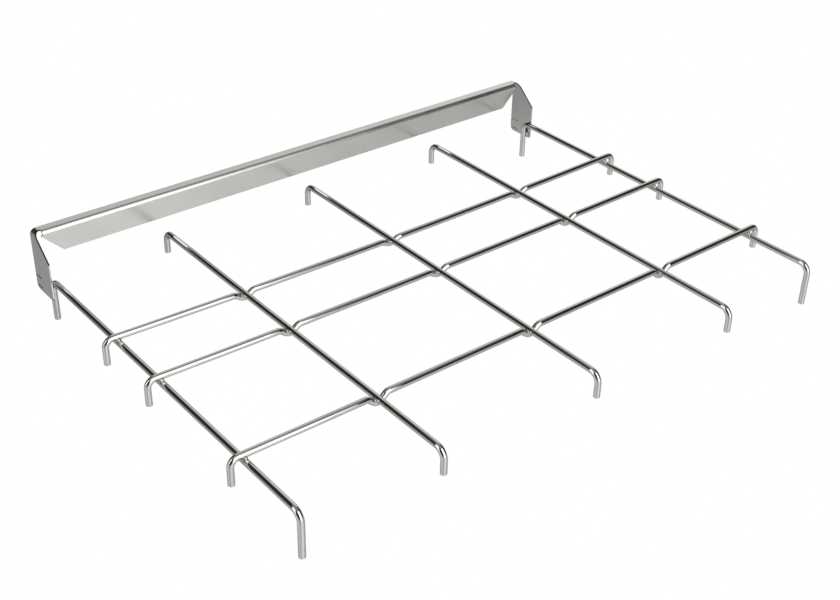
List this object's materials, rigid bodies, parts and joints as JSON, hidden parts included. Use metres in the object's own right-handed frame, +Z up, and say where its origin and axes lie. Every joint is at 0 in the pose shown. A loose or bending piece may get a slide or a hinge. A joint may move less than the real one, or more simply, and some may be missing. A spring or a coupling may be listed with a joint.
{
  "type": "wire pan support",
  "caption": "Low open grid of crossing round wires with bent-down ends as feet, and a folded sheet rail standing along the rear between two end plates.",
  "frame": {"origin": "centre of the footprint, on the surface that the four corner feet stand on", "axes": "+X to the right along the rear rail, +Y to the rear, towards the rail, +Z up"},
  "size_m": [0.516, 0.369, 0.0715],
  "materials": {
    "wire_steel": "polished",
    "sheet_steel": "bright",
    "weld_steel": "as welded"
  },
  "bodies": {
    "root": {"long_wire_left_outer": "wire_steel", "long_wire_left_inner": "wire_steel", "long_wire_centre": "wire_steel", "long_wire_right_inner": "wire_steel", "long_wire_right_outer": "wire_steel", "cross_wire_rear": "wire_steel", "cross_wire_middle": "wire_steel", "cross_wire_front": "wire_steel", "rear_rail": "sheet_steel", "weld_left_outer_rear": "weld_steel", "weld_left_outer_middle": "weld_steel", "weld_left_outer_front": "weld_steel", "weld_left_inner_rear": "weld_steel", "weld_left_inner_middle": "weld_steel", "weld_left_inner_front": "weld_steel", "weld_centre_rear": "weld_steel", "weld_centre_middle": "weld_steel", "weld_centre_front": "weld_steel", "weld_right_inner_rear": "weld_steel", "weld_right_inner_middle": "weld_steel", "weld_right_inner_front": "weld_steel", "weld_right_outer_rear": "weld_steel", "weld_right_outer_middle": "weld_steel", "weld_right_outer_front": "weld_steel", "rail_weld_left_front": "weld_steel", "rail_weld_left_rear": "weld_steel", "rail_weld_right_front": "weld_steel", "rail_weld_right_rear": "weld_steel"}
  },
  "joints": []
}
